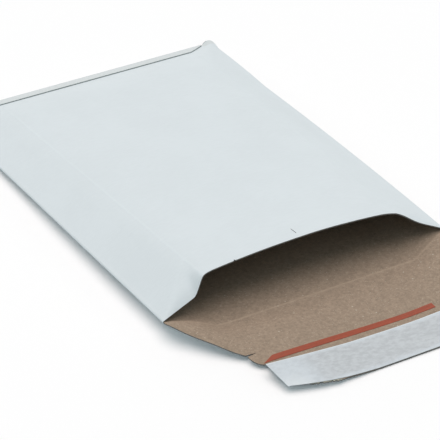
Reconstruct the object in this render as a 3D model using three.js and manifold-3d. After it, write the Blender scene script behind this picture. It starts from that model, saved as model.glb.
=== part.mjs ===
// A solid-board shipping envelope, lying open on its back panel.
// One sheet of board is folded into a flat tube, closed at the far end by a glued flap.
// At the mouth the back panel runs on as the closing flap, which carries a tear strip,
// a band of adhesive and the paper liner that covers the adhesive.
// Millimetres, +Z up, +Y from the closing flap to the far end.
// The origin is under the middle of the whole outline, on the surface the envelope lies on.

import * as THREE from 'three';
import { mergeGeometries, mergeVertices } from 'three/addons/utils/BufferGeometryUtils.js';
import Module from 'manifold-3d';

const { clamp, lerp, smoothstep } = THREE.MathUtils;

// The board and its folds
const ENVELOPE_WIDTH = 162; // over both side folds at the far end
const ENVELOPE_LENGTH = 229; // from the mouth corners to the far fold
const BOARD = 0.6; // thickness of the board
const PRESSED_GAP = 0.4; // air between the two panels under the end flap
const MOUTH_FOLD_GAP = 0.4; // air inside a side fold at the mouth
const END_FOLD_GAP = 2.2; // the same at the far corners, where the folds have sprung open
const GLUE_LINE = 0.05; // glue between the end flap and the front panel

// The bulged shape of the pocket
const MOUTH_HEIGHT = 22.2; // height of the two long creases at the mouth
const END_HEIGHT = 11.2; // height of the creases where the end slope starts
const END_RUN = 25.5; // length of the slope down to the far fold
const NARROWING_RUN = 60; // length over which the sides draw in from the far fold
const MOUTH_CROWN = 3.4; // how far the front panel arches above its creases at the mouth
const END_CROWN = 1; // the same where the end slope starts
const SIDE_LIFT = 5.7; // how far the side folds stand off the ground at the mouth
const BACK_CREASE_INSET = 27; // from the envelope's side to the crease in the back panel
const MOUTH_SETBACK = 4.6; // how far the front panel's edge lies behind the mouth corners
const SETBACK_RUN = 24; // width over which that edge draws back from a corner
const CREASE_SOFTNESS = 2.6; // height over which one face of the front panel turns into the next

// Each side has its own crease in the front panel, as insets from the envelope's side.
// Each mouth corner is pinched in, the left one with a steep step beside the crease,
// and the right side fold is drawn in a little more than the left one
const LEFT = { sign: -1, mouthInset: 27.5, endInset: 25, pinch: 0.51, pinchStep: 6.2, drawIn: -0.4 };
const RIGHT = { sign: 1, mouthInset: 30.5, endInset: 21, pinch: 0.2, pinchStep: 16, drawIn: 1.2 };
const PINCH_REACH = 22; // where the pinch's diagonal fold meets the long crease
const PINCH_OVERLAP = 0.6; // how far the step reaches past the crease

// The end flap, glued down on the front panel at the far end
const END_FLAP_WIDTH = 10.5;
const END_FLAP_INSET = 7.5; // from the envelope's side to the flap's root
const END_FLAP_TAPER = 12.5; // how far the flap's ends run in towards its free edge
const END_FLAP_CURVE = 1.15; // how rounded those ends are, 1 being straight

// The closing flap, from the mouth outwards
const SLIT_REACH = 37.2; // mouth corners to the tear slits
const TEAR_STRIP_GAP = 4.6; // slits to the tear strip
const TEAR_STRIP_WIDTH = 3.5;
const TEAR_STRIP_SKEW = 0.4; // how much further out the strip lies at its right end
const LINER_GAP = 4.2; // tear strip to the liner
const LINER_WIDTH = 21.7;
const LINER_MARGIN = 0.5; // board left bare beside and below the liner
const ADHESIVE_MARGIN = 3.4; // liner left free of adhesive along its long edges
const ADHESIVE_END_MARGIN = 1.5; // the same at its two ends, and where the tear strip starts
const TEAR_STRIP_SHORT = 12; // how far the tear strip stops short of the liner's right end
const SLIT_INSET = 25.7; // from the envelope's side to the flap's edge at the slits
const SLIT_LENGTH = 5.2;
const SLIT_MOUTH = { left: 0.6, right: 4 }; // width of each slit at the flap's edge
const TAB_LENGTH = 8.6; // the rounded tab below each slit
const FLAP_END_INSET = 29; // from the envelope's side to the flap's edge beside the liner
const CURL_START = 4; // from the middle to where the flap's left half starts to curl up
const CURL_TOP = 32; // from the middle to where it levels off again
const FLAP_TAPER_CURVE = 1.6; // how rounded the flap's sides are above the slits, 1 being straight
const FLAP_FLARE = 2.2; // how far these sides swell out just past the mouth corners
const FLARE_REACH = 5; // mouth corners to where they swell out most
const BEND_REACH = 12; // mouth corners to where the flap's left edge is bent up most
// Heights of the flap's edges at that bend, the slit, the liner and the free edge
const FLAP_LIFT = { left: [7, 2.5, 1.7, 2.2], right: [4.3, 1.6, 0.8, 0.4] };
const CORNER_CUT = 6.3; // how far the free edge is cut back at its left corner
const CORNER_CUT_START = 22; // from the middle to where that curve starts

// The thin pieces on the closing flap
const TAPE_THICKNESS = 0.12;
const ADHESIVE_THICKNESS = 0.15;
const LINER_THICKNESS = 0.1;
const SEAT_GAP = 0.03; // between a thin piece and what it lies on

// The short locating slit near the middle of the front panel's mouth edge
const NICK_LENGTH = 4.8;
const NICK_WIDTH = 0.3;
const NICK_FROM_EDGE = 3.8; // mouth edge to the slit's near end
const NICK_OFFSET = -2; // sideways from the middle

// How finely the curved faces are divided
const NOSE_STEPS = 4; // along each side fold's rounded edge
const HEM_STEPS = 6; // round the far fold
const QUARTERS = [0, 0.25, 0.5, 0.75, 1];
const TAPER_ROWS = [0.12, 0.25, 0.5, 0.75]; // shares of the way from the mouth to the slits
const BAND_PLACES = [0.7, 0.46, 0.29, 0.18, 0.09, 0.02]; // shares of the way from crease to root
const ROOF_PLACES = [0.96, 0.88, 0.7, 0.45, 0.2]; // shares of the way from middle to crease
const SLOPE_STEP = 0.05; // distance over which a slope is measured
const MERGE_TOLERANCE = 1e-4; // points closer than this are one point

// What each piece looks like
const BOARD_LOOK = { color: 0xdce4e6, roughness: 0.75, metalness: 0 };
const TAPE_LOOK = { color: 0xa4553f, roughness: 0.55, metalness: 0 };
const ADHESIVE_LOOK = { color: 0xd8d2c0, roughness: 0.4, metalness: 0 };
const LINER_LOOK = { color: 0xc4cacd, roughness: 0.5, metalness: 0 };

const SIDE = ENVELOPE_WIDTH / 2;
const PRESSED = 2 * BOARD + PRESSED_GAP;
const SLOPE_START = ENVELOPE_LENGTH - END_RUN;
const END_CLIMB = (END_HEIGHT - PRESSED) / END_RUN;
const BACK_CREASE = SIDE - BACK_CREASE_INSET;
const END_FLAP_HALF = SIDE - END_FLAP_INSET;
const HEM_RADIUS = (PRESSED + GLUE_LINE + BOARD) / 2;
const TEAR_REACH = SLIT_REACH + TEAR_STRIP_GAP;
const LINER_REACH = TEAR_REACH + TEAR_STRIP_WIDTH + LINER_GAP;
const FLAP_LENGTH = LINER_REACH + LINER_WIDTH + LINER_MARGIN;
const FLAP_END_HALF = SIDE - FLAP_END_INSET;
const SLIT_HALF = SIDE - SLIT_INSET;

const point = (x, y, z) => new THREE.Vector3(x, y, z);
const raised = (row, by) => row.map((p) => point(p.x, p.y, p.z + by));
const sideOf = (x) => (x < 0 ? LEFT : RIGHT);

// Surfaces and solids

// A grid of points as a surface. It faces the way of (row to row) x (point to point).
function skin(rows) {
  const geometry = new THREE.PlaneGeometry(1, 1, rows[0].length - 1, rows.length - 1);
  rows.flat().forEach((p, i) => geometry.attributes.position.setXYZ(i, p.x, p.y, p.z));
  geometry.deleteAttribute('normal');
  geometry.deleteAttribute('uv');
  return geometry;
}

// The same surface facing the other way, with its triangles split along the same diagonals
function flipped(rows) {
  const geometry = skin(rows);
  const corners = geometry.index.array;
  for (let i = 0; i < corners.length; i += 3) {
    [corners[i + 1], corners[i + 2]] = [corners[i + 2], corners[i + 1]];
  }
  return geometry;
}

const column = (rows, i) => rows.map((row) => row.at(i));

// The walls round a sheet's open border, from the grids of its two faces
function leftWall(upper, lower) {
  return skin([column(upper, 0), column(lower, 0)]);
}

function rightWall(upper, lower) {
  return skin([column(lower, -1), column(upper, -1)]);
}

function closedBody(skins) {
  return mergeVertices(mergeGeometries(skins), MERGE_TOLERANCE);
}

// A thin sheet between two grids that run outwards row by row, left to right
function thinSheet(upper, lower) {
  return closedBody([
    skin(upper),
    flipped(lower),
    leftWall(upper, lower),
    rightWall(upper, lower),
    skin([upper.at(-1), lower.at(-1)]),
    skin([lower[0], upper[0]]),
  ]);
}

// The pocket's shape

const sideLift = (y) => SIDE_LIFT * (1 - (y / ENVELOPE_LENGTH) ** 2);
const creaseHeight = (y) => lerp(MOUTH_HEIGHT, END_HEIGHT, y / SLOPE_START);

// Side folds lie pressed together, and spring open beside the end flap
function foldRadius(y) {
  const sprung = clamp((y - ENVELOPE_LENGTH + END_FLAP_WIDTH) / END_FLAP_WIDTH, 0, 1);
  return BOARD + lerp(MOUTH_FOLD_GAP, END_FOLD_GAP, sprung) / 2;
}

// Height of the front panel's outer face at a side fold
const footHeight = (y) => sideLift(y) + 2 * foldRadius(y);

function creaseAt(side, y) {
  return SIDE - lerp(side.mouthInset, side.endInset, Math.min(y / SLOPE_START, 1));
}

// The panel keeps its width, so the side fold draws in as the crease rises
function foldAt(side, y) {
  const crease = creaseAt(side, y);
  const share = clamp((ENVELOPE_LENGTH - y) / NARROWING_RUN, 0, 1);
  const rise = share * (creaseHeight(y) - footHeight(y));
  const across = Math.sqrt((SIDE - foldRadius(y) - crease) ** 2 - rise ** 2);
  return crease + across - share ** 2 * side.drawIn;
}

// Place of the end flap's root on each panel, drawn in with the side fold
function rootAt(side, y) {
  return (END_FLAP_HALF * foldAt(side, y)) / foldAt(side, ENVELOPE_LENGTH);
}

// Underside of the back panel: flat in the middle, rising to the side folds
function backHeight(x, y) {
  const fold = foldAt(sideOf(x), y);
  return sideLift(y) * clamp((Math.abs(x) - BACK_CREASE) / (fold - BACK_CREASE), 0, 1);
}

// The lower of two heights, rounded where they cross
function softMin(a, b, softness) {
  const overlap = Math.max(softness - Math.abs(a - b), 0);
  return Math.min(a, b) - (softness > 0 ? overlap ** 2 / (4 * softness) : 0);
}

// How far a pinched mouth corner is pressed in
function pinchDepth(side, x, y) {
  const fold = foldAt(side, y);
  const crease = creaseAt(side, y);
  const diagonal = PINCH_REACH * ((fold - Math.abs(x)) / (fold - crease));
  const stepStart = crease - PINCH_OVERLAP;
  const step = smoothstep(Math.abs(x), stepStart, stepStart + side.pinchStep);
  return side.pinch * step * Math.max(diagonal - y, 0);
}

// The slope down to the far fold. Beside the end flap it turns up to the sprung side fold.
function endSlope(side, x, y) {
  const ear = smoothstep(Math.abs(x), rootAt(side, y), foldAt(side, y));
  const spring = 2 * foldRadius(y) - PRESSED;
  return PRESSED + END_CLIMB * (ENVELOPE_LENGTH - y) + ear * spring;
}

// Outer face of the front panel: an arched roof, two side slopes and the end slope
function frontHeight(x, y) {
  const side = sideOf(x);
  const fold = foldAt(side, y);
  const crease = creaseAt(side, y);
  const foot = footHeight(y);
  const crown = lerp(MOUTH_CROWN, END_CROWN, y / SLOPE_START);
  const roof = creaseHeight(y) + crown * (1 - (x / crease) ** 2);
  const climb = (creaseHeight(y) - foot) / (fold - crease);
  const slope = foot + climb * (fold - Math.abs(x)) - pinchDepth(side, x, y);
  const softness = CREASE_SOFTNESS * clamp((ENVELOPE_LENGTH - y) / END_RUN, 0, 1);
  return softMin(softMin(roof, slope, softness), endSlope(side, x, y), softness);
}

// Height to take off the outer face so that the board keeps its thickness on a slope
function boardDrop(x, y) {
  const alongX = (frontHeight(x + SLOPE_STEP, y) - frontHeight(x - SLOPE_STEP, y)) / (2 * SLOPE_STEP);
  const alongY = (frontHeight(x, y) - frontHeight(x, y - SLOPE_STEP)) / SLOPE_STEP;
  return BOARD * Math.hypot(1, alongX, alongY);
}

function mouthEdge(x) {
  const fromFold = foldAt(sideOf(x), 0) - Math.abs(x);
  return MOUTH_SETBACK * clamp(fromFold / SETBACK_RUN, 0, 1);
}

// The pocket's faces, as rings of points at stations along its length

// Places across the back panel, side fold to middle
function backPlaces(side, y) {
  const root = rootAt(side, y);
  const band = [foldAt(side, y), root, (root + BACK_CREASE) / 2];
  return [...band, BACK_CREASE, (BACK_CREASE * 2) / 3, BACK_CREASE / 3];
}

// Places across the front panel, side fold to middle, closest together round the crease
function frontPlaces(side, y) {
  const fold = foldAt(side, y);
  const root = rootAt(side, y);
  const crease = creaseAt(side, y);
  const band = BAND_PLACES.map((k) => lerp(crease, root, k));
  const roof = ROOF_PLACES.map((k) => k * crease);
  return [fold, (fold + root) / 2, root, ...band, ...roof];
}

function leftToRight(places, y) {
  const left = places(LEFT, y).map((x) => -x);
  const right = places(RIGHT, y).reverse();
  return [...left, 0, ...right];
}

function backRow(y, inner) {
  const raise = inner ? BOARD : 0;
  return leftToRight(backPlaces, y).map((x) => point(x, y, backHeight(x, y) + raise));
}

// Half a turn round a side fold, without its two ends
function noseRow(side, y, inner) {
  const radius = foldRadius(y) - (inner ? BOARD : 0);
  const centre = sideLift(y) + foldRadius(y);
  const turns = Array.from({ length: NOSE_STEPS - 1 }, (_, i) => ((i + 1) / NOSE_STEPS - 0.5) * Math.PI);
  const row = turns.map((turn) => {
    const x = foldAt(side, y) + radius * Math.cos(turn);
    return point(side.sign * x, y, centre + radius * Math.sin(turn));
  });
  return side === RIGHT ? row : row.reverse();
}

function frontRow(y, inner) {
  const share = y / ENVELOPE_LENGTH;
  const xs = leftToRight(frontPlaces, y).reverse();
  return xs.map((x, i) => {
    const atFold = i === 0 || i === xs.length - 1;
    const along = lerp(atFold ? 0 : mouthEdge(x), ENVELOPE_LENGTH, share);
    const outer = atFold ? footHeight(y) : frontHeight(x, along);
    const drop = atFold ? BOARD : boardDrop(x, along);
    return point(x, along, outer - (inner ? drop : 0));
  });
}

function ring(y, inner) {
  const back = backRow(y, inner);
  const right = noseRow(RIGHT, y, inner);
  const left = noseRow(LEFT, y, inner);
  return [...back, ...right, ...frontRow(y, inner), ...left, back[0]];
}

// Stations along the pocket: close at the pinched mouth and at the end slope
function stations() {
  const turnLength = END_RUN / 4;
  const mouth = QUARTERS.map((k) => k * PINCH_REACH);
  const middle = QUARTERS.slice(1).map((k) => lerp(PINCH_REACH, SLOPE_START - turnLength, k));
  const end = [SLOPE_START, SLOPE_START + turnLength, ENVELOPE_LENGTH - END_FLAP_WIDTH];
  return [...mouth, ...middle, ...end, ENVELOPE_LENGTH];
}

// The end flap, up round the far fold and back over the front panel
function endFlapRows(root, inner) {
  const radius = HEM_RADIUS - (inner ? BOARD : 0);
  const rows = [root];
  for (let i = 1; i < HEM_STEPS; i += 1) {
    const turn = (i / HEM_STEPS) * Math.PI;
    const along = ENVELOPE_LENGTH + radius * Math.sin(turn);
    const height = HEM_RADIUS - radius * Math.cos(turn);
    rows.push(root.map((p) => point(p.x, along, height)));
  }
  for (const share of QUARTERS) {
    const scale = 1 - (END_FLAP_TAPER * share ** END_FLAP_CURVE) / END_FLAP_HALF;
    const back = share * END_FLAP_WIDTH;
    const height = PRESSED + GLUE_LINE + END_CLIMB * back + (inner ? 0 : BOARD);
    rows.push(root.map((p) => point(p.x * scale, ENVELOPE_LENGTH - back, height)));
  }
  return rows;
}

// The closing flap

// Places across the flap beyond the slits, edge to middle: edge, end of the liner, end of the
// adhesive, the bend (top of the curl on the left, end of the tear strip on the right), two more
function flapPlaces(side, edge) {
  const linerEnd = FLAP_END_HALF - LINER_MARGIN;
  const liner = Math.min(linerEnd, edge - LINER_MARGIN);
  const adhesive = Math.min(linerEnd - ADHESIVE_END_MARGIN, liner - LINER_MARGIN);
  const bend = side === LEFT ? CURL_TOP : linerEnd - TEAR_STRIP_SHORT;
  const start = side === LEFT ? CURL_START : (bend * 2) / 3;
  return [edge, liner, adhesive, bend, start, start / 2];
}

// Height of the flap's edge above the ground, from the mouth out to the free edge
function flapLift(side, reach) {
  const lifts = side === LEFT ? FLAP_LIFT.left : FLAP_LIFT.right;
  const reaches = [0, BEND_REACH, SLIT_REACH, LINER_REACH, FLAP_LENGTH];
  const heights = [sideLift(0), ...lifts];
  const k = reaches.findIndex((far, i) => i > 0 && reach <= far);
  return lerp(heights[k - 1], heights[k], (reach - reaches[k - 1]) / (reaches[k] - reaches[k - 1]));
}

// Height of one place: level in the middle, then up to the bend and on to the edge
function curlHeight(x, [edge, bend, start], edgeLift, bendLift) {
  if (x > bend) return lerp(bendLift, edgeLift, (x - bend) / (edge - bend));
  return bendLift * Math.max((x - start) / (bend - start), 0);
}

// How far a place is moved back because the left corner of the free edge is cut in a curve
function cutBack(x, reach) {
  const along = clamp((-x - CORNER_CUT_START) / (FLAP_END_HALF - CORNER_CUT_START), 0, 1);
  const outwards = clamp((reach - LINER_REACH) / (FLAP_LENGTH - LINER_REACH), 0, 1);
  return CORNER_CUT * along ** 2 * outwards;
}

// The flap's edge: a rounded taper, the slit, a rounded tab, then straight beside the liner
function taperEdge(side, reach) {
  const share = reach / SLIT_REACH;
  const swell = (reach / FLARE_REACH) * Math.exp(1 - reach / FLARE_REACH);
  const taper = lerp(foldAt(side, 0), SLIT_HALF, share ** FLAP_TAPER_CURVE);
  return taper + FLAP_FLARE * swell * (1 - share);
}

function tabEdge(reach) {
  const share = clamp((reach - SLIT_REACH) / TAB_LENGTH, 0, 1);
  return lerp(FLAP_END_HALF, SLIT_HALF, Math.sqrt(1 - share ** 2));
}

// Each row gives its reach from the mouth and its edge, on the left and on the right.
// The slits' row also gives the edge that the flap would have without them.
function flapOutline() {
  const { left, right } = SLIT_MOUTH;
  const taperRow = (l, r) => ({ reach: [l, r], edge: [taperEdge(LEFT, l), taperEdge(RIGHT, r)] });
  const tabRow = (l, r) => ({ reach: [l, r], edge: [tabEdge(l), tabEdge(r)] });
  const evenRow = (reach) => tabRow(reach, reach);
  const above = TAPER_ROWS.map((k) => taperRow(k * SLIT_REACH, k * SLIT_REACH));
  const tearEnd = TEAR_REACH + TEAR_STRIP_WIDTH;
  const adhesiveStart = LINER_REACH + ADHESIVE_MARGIN;
  const adhesiveEnd = LINER_REACH + LINER_WIDTH - ADHESIVE_MARGIN;
  const slitTip = SLIT_HALF - SLIT_LENGTH;
  return {
    above: [...above, taperRow(SLIT_REACH - left / 2, SLIT_REACH - right)],
    slit: {
      reach: [SLIT_REACH, SLIT_REACH],
      edge: [slitTip, slitTip],
      uncut: [SLIT_HALF, SLIT_HALF],
    },
    below: [tabRow(SLIT_REACH + left / 2, SLIT_REACH + left / 2)],
    tear: [tabRow(TEAR_REACH, TEAR_REACH + TEAR_STRIP_SKEW), tabRow(tearEnd, tearEnd + TEAR_STRIP_SKEW)],
    linerTop: evenRow(LINER_REACH),
    adhesive: [adhesiveStart, (adhesiveStart + adhesiveEnd) / 2, adhesiveEnd].map(evenRow),
    linerBottom: evenRow(LINER_REACH + LINER_WIDTH),
    free: evenRow(FLAP_LENGTH),
  };
}

// A row of points on the flap's underside
function flapRow({ reach, edge, uncut = edge }) {
  const [leftReach, rightReach] = reach;
  const settle = Math.min(leftReach / (SLIT_REACH - SLIT_MOUTH.right), 1);
  const places = (side, y) => {
    const sideEdge = side === LEFT ? edge[0] : edge[1];
    const root = backPlaces(side, y);
    const settled = flapPlaces(side, sideEdge);
    return settled.map((x, i) => (i === 0 ? sideEdge : lerp(root[i], x, settle)));
  };
  const xs = leftToRight(places, 0);
  const leftBends = [uncut[0], -xs[3], -xs[4]];
  const rightBends = [uncut[1], xs.at(-4), xs.at(-5)];
  const leftLift = flapLift(LEFT, leftReach);
  const rightLift = flapLift(RIGHT, rightReach);
  return xs.map((x) => {
    const across = clamp((x + FLAP_END_HALF) / (2 * FLAP_END_HALF), 0, 1);
    const along = lerp(leftReach, rightReach, across) - cutBack(x, leftReach);
    const leftHeight = curlHeight(-x, leftBends, leftLift, settle * leftLift);
    return point(x, -along, x < 0 ? leftHeight : curlHeight(x, rightBends, rightLift, 0));
  });
}

// The pieces

// Cuts one closed body out of another
async function cut(body, tool) {
  const wasm = await Module();
  wasm.setup();
  const solid = (geometry) => {
    const vertProperties = new Float32Array(geometry.attributes.position.array);
    const triVerts = new Uint32Array(geometry.index.array);
    return new wasm.Manifold(new wasm.Mesh({ numProp: 3, vertProperties, triVerts }));
  };
  const mesh = solid(body).subtract(solid(tool)).getMesh();
  const result = new THREE.BufferGeometry();
  result.setAttribute('position', new THREE.BufferAttribute(mesh.vertProperties, 3));
  result.setIndex(new THREE.BufferAttribute(mesh.triVerts, 1));
  return result;
}

function nickCutter() {
  const through = 8 * BOARD;
  const box = new THREE.BoxGeometry(NICK_WIDTH, NICK_LENGTH, through);
  box.deleteAttribute('normal');
  box.deleteAttribute('uv');
  const along = MOUTH_SETBACK + NICK_FROM_EDGE + NICK_LENGTH / 2;
  box.translate(NICK_OFFSET, along, frontHeight(NICK_OFFSET, along) - BOARD);
  return mergeVertices(box);
}

// The whole folded sheet: pocket, end flap and closing flap
function boardBody(flapUnder) {
  const outer = stations().map((y) => ring(y, false));
  const inner = stations().map((y) => ring(y, true));
  const backCount = backRow(0, false).length;
  const rootFrom = 1;
  const rootTo = backCount - 2;
  const farLoop = (loop) => [...loop.slice(rootTo), ...loop.slice(1, rootFrom + 1)];
  const mouthLoop = (loop) => loop.slice(backCount - 1);
  const hem = (rings) => rings.at(-1).slice(rootFrom, rootTo + 1);
  const endOuter = endFlapRows(hem(outer), false);
  const endInner = endFlapRows(hem(inner), true);
  const lower = [outer[0].slice(0, backCount), ...flapUnder];
  const upper = [inner[0].slice(0, backCount), ...flapUnder.map((row) => raised(row, BOARD))];
  return closedBody([
    skin(outer),
    flipped(inner),
    skin([mouthLoop(inner[0]), mouthLoop(outer[0])]),
    skin([farLoop(outer.at(-1)), farLoop(inner.at(-1))]),
    skin(endOuter),
    flipped(endInner),
    leftWall(endOuter, endInner),
    rightWall(endOuter, endInner),
    skin([endOuter.at(-1), endInner.at(-1)]),
    skin(upper),
    flipped(lower),
    leftWall(upper, lower),
    rightWall(upper, lower),
    skin([upper.at(-1), lower.at(-1)]),
  ]);
}

// A thin piece that follows the flap over the given rows, with some places left off at each end
function bandOnFlap(rows, skipLeft, skipRight, base, thickness) {
  const kept = rows.map((row) => row.slice(skipLeft, row.length - skipRight));
  const lower = kept.map((row) => raised(row, base));
  const upper = kept.map((row) => raised(row, base + thickness));
  return thinSheet(upper, lower);
}

function piece(name, geometry, look) {
  const mesh = new THREE.Mesh(geometry, new THREE.MeshStandardMaterial(look));
  mesh.name = name;
  return mesh;
}

const outline = flapOutline();
const aboveRows = outline.above.map(flapRow);
const slitRow = flapRow(outline.slit);
const belowRows = outline.below.map(flapRow);
const tearRows = outline.tear.map(flapRow);
const adhesiveRows = outline.adhesive.map(flapRow);
const linerRows = [flapRow(outline.linerTop), ...adhesiveRows, flapRow(outline.linerBottom)];
const flapUnder = [...aboveRows, slitRow, ...belowRows, ...tearRows, ...linerRows, flapRow(outline.free)];

const onBoard = BOARD + SEAT_GAP;
const onAdhesive = onBoard + ADHESIVE_THICKNESS + SEAT_GAP;
const board = await cut(boardBody(flapUnder), nickCutter());
const tape = bandOnFlap(tearRows, 2, 3, onBoard, TAPE_THICKNESS);
const adhesive = bandOnFlap(adhesiveRows, 2, 2, onBoard, ADHESIVE_THICKNESS);
const liner = bandOnFlap(linerRows, 1, 1, onAdhesive, LINER_THICKNESS);

const envelope = new THREE.Group();
envelope.add(piece('folded_board', board, BOARD_LOOK));
envelope.add(piece('tear_strip', tape, TAPE_LOOK));
envelope.add(piece('adhesive_band', adhesive, ADHESIVE_LOOK));
envelope.add(piece('release_liner', liner, LINER_LOOK));
envelope.position.y = (FLAP_LENGTH - ENVELOPE_LENGTH - HEM_RADIUS) / 2;

export default envelope;
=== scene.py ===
"""A folded board envelope that lies open on its back panel, on a plain white floor."""

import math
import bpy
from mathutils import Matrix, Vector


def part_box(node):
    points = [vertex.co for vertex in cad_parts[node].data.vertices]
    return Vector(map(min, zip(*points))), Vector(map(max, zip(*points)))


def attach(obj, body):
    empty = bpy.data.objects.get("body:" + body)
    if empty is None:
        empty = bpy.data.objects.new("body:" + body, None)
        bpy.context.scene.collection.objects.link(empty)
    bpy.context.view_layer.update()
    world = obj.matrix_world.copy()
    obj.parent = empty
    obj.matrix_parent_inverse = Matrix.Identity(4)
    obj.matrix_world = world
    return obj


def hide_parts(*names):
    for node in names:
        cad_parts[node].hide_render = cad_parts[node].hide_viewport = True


bl_info = {
    "name": "Board Envelope",
    "version": (1, 0, 0),
    "blender": (4, 5, 0),
    "location": "View3D > Sidebar > Envelope",
    "description": "Builds a folded board envelope with a tear strip and a covered adhesive band",
    "category": "Object",
}

import bpy
import numpy as np
from bpy.props import FloatProperty, FloatVectorProperty, PointerProperty
from mathutils import Matrix, Vector, noise
from mathutils.geometry import delaunay_2d_cdt

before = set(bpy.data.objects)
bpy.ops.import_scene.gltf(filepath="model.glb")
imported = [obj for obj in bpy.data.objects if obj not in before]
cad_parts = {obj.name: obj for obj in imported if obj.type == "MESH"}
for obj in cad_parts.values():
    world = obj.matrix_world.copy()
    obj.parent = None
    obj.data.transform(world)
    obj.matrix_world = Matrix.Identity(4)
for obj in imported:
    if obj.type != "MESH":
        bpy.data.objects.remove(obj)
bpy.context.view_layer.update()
MM = 0.001
TINY = 1e-9


def length(name, description, millimetres):
    """A size that the user can change, stored in metres."""
    return FloatProperty(
        name=name, description=description, default=millimetres * MM, unit="LENGTH", precision=5
    )


def share(name, description, value):
    """A plain number from 0 to 1."""
    return FloatProperty(name=name, description=description, default=value, min=0.0, max=1.0)


def colour(name, description, value):
    """A colour in linear light."""
    return FloatVectorProperty(
        name=name, description=description, default=value, subtype="COLOR", min=0.0, max=1.0
    )


class PocketShape(bpy.types.PropertyGroup):
    """Sizes of the bulged pocket and its glued end flap."""

    width: length("Width", "Over both side folds at the far end", 162)
    length: length("Length", "Mouth corners to the far fold", 229)
    board: length("Board", "Thickness of the board", 0.6)
    pressed_gap: length("Pressed gap", "Air between the panels under the end flap", 0.4)
    fold_gap: length("Fold gap", "Air inside the pressed side folds", 0.4)
    sprung_gap: length("Sprung gap", "Air inside the side folds at the far corners", 2.2)
    far_corner: length("Far corner", "Rounding of the far corners", 1.3)
    glue: length("Glue line", "Glue between end flap and front panel", 0.05)
    mouth_height: length("Mouth height", "Height of the long creases at the mouth", 22.2)
    end_height: length("End height", "Height of the creases where the end slope starts", 11.2)
    end_run: length("End run", "Length of the slope down to the far fold", 25.5)
    narrowing_run: length("Narrowing run", "Length over which the sides draw in", 60)
    mouth_crown: length("Mouth crown", "Arch of the front panel at the mouth", 3.4)
    end_crown: length("End crown", "Arch of the front panel at the end slope", 1)
    side_lift: length("Side lift", "Height of the side folds at the mouth", 5.7)
    back_crease_inset: length("Back crease inset", "Side to the back panel's crease", 27)
    setback: length("Setback", "Front panel's edge behind the mouth corners", 4.6)
    setback_run: length("Setback run", "Width over which that edge draws back", 24)
    left_softness: length("Left softness", "Rounding of the left crease", 2.8)
    right_softness: length("Right softness", "Rounding of the right crease", 4)
    end_flap_width: length("End flap width", "Far fold to the end flap's edge", 10.5)
    end_flap_inset: length("End flap inset", "Side to the end flap's root", 7.5)
    end_flap_taper: length("End flap taper", "How far its ends run in", 12.5)
    notch: length("Notch", "Depth of the small notch in the front panel's edge", 0.7)
    ripple: length("Ripple", "Height of the soft unevenness in the front panel", 0.16)
    score: length("Score", "Height of the pressed score lines", 0.09)


class FlapShape(bpy.types.PropertyGroup):
    """Sizes of the closing flap and the strips on it."""

    slit_reach: length("Slit reach", "Mouth corners to the tear slits", 37.2)
    slit_inset: length("Slit inset", "Side to the flap's edge at the slits", 25.7)
    slit_length: length("Slit length", "Length of a tear slit", 5.2)
    left_slit: length("Left slit", "Width of the left slit at the edge", 0.6)
    right_slit: length("Right slit", "Width of the right slit at the edge", 4)
    edge_bend: length("Edge bend", "How far the flap's left edge is bent up beside the mouth", 3.4)
    tab: length("Tab", "Length of the rounded tab below a slit", 8.6)
    end_inset: length("End inset", "Side to the flap's edge beside the liner", 30.5)
    reach: length("Reach", "Mouth corners to the free edge", 71.7)
    corner_cut: length("Corner cut", "How far the left corner of the free edge is cut back", 7)
    fray: length("Fray", "Depth of the ragged stretch of the free edge", 1.2)
    score_reach: length("Score reach", "Mouth corners to the flap's score line", 7.7)
    tape_reach: length("Tape reach", "Mouth corners to the tear strip", 41.8)
    tape_width: length("Tape width", "Width of the tear strip", 3.5)
    tape_skew: length("Tape skew", "How much further out its right end lies", 0.4)
    liner_reach: length("Liner reach", "Mouth corners to the liner", 49.5)
    liner_peel: length("Liner peel", "How far the liner's loose corner stands off the board", 2.85)
    liner_ripple: length("Liner ripple", "Unevenness of the liner", 0.12)


class EnvelopeFinish(bpy.types.PropertyGroup):
    """Colours of the board and the strips."""

    coated: colour("Coated side", "Outside of the board", (0.684, 0.742, 0.765))
    # a darker, greyer copy of the coated side: painted shade on the end flap and the ears beside it
    end_flap: colour("End flap", "Outside of the glued end flap", (0.64, 0.685, 0.69))
    raw: colour("Raw side", "Inside of the board", (0.324, 0.249, 0.185))
    # darkened: painted shade on the cut edges
    cut: colour("Cut edge", "Edges of the board", (0.15, 0.146, 0.136))
    # the same cut edge, painted with less shade than the other cut edges
    pressed_edge: colour("Pressed edge", "Edge of the glued end flap", (0.3, 0.34, 0.34))
    light_fibre: colour("Light fibre", "Light flecks in the raw side", (0.6, 0.54, 0.44))
    torn: colour("Torn edge", "Fibres of the torn free edge", (0.52, 0.51, 0.42))
    dark_fibre: colour("Dark fibre", "Dark flecks in the raw side", (0.13, 0.1, 0.075))
    tape: colour("Tear strip", "The tear strip", (0.272, 0.045, 0.014))
    liner: colour("Liner", "Release liner where nothing shows through", (0.575, 0.625, 0.66))
    stuck: colour("Stuck liner", "Release liner over the adhesive", (0.508, 0.54, 0.56))
    # painted highlight on the liner's upper edge; the same colour is also mixed into its loose lower-left
    # corner
    liner_edge: colour("Liner edge", "Lit upper edge of the liner", (0.72, 0.765, 0.78))
    adhesive: colour("Adhesive", "The adhesive band", (0.68, 0.62, 0.5))
    speck: share("Speck amount", "How many of the raw side's cells hold a fleck", 0.2)


def lerp(a, b, t):
    return a + (b - a) * t


def smooth(value, start, end):
    t = np.clip((value - start) / (end - start), 0.0, 1.0)
    return t * t * (3 - 2 * t)


def swell(value, peak):
    """Rises from 0 to 1 at the peak and dies away beyond it."""
    return value / peak * np.exp(1 - value / peak)


def ridge(distance, width):
    """1 on a line and fading away beside it."""
    return np.exp(-((distance / width) ** 2))


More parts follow.
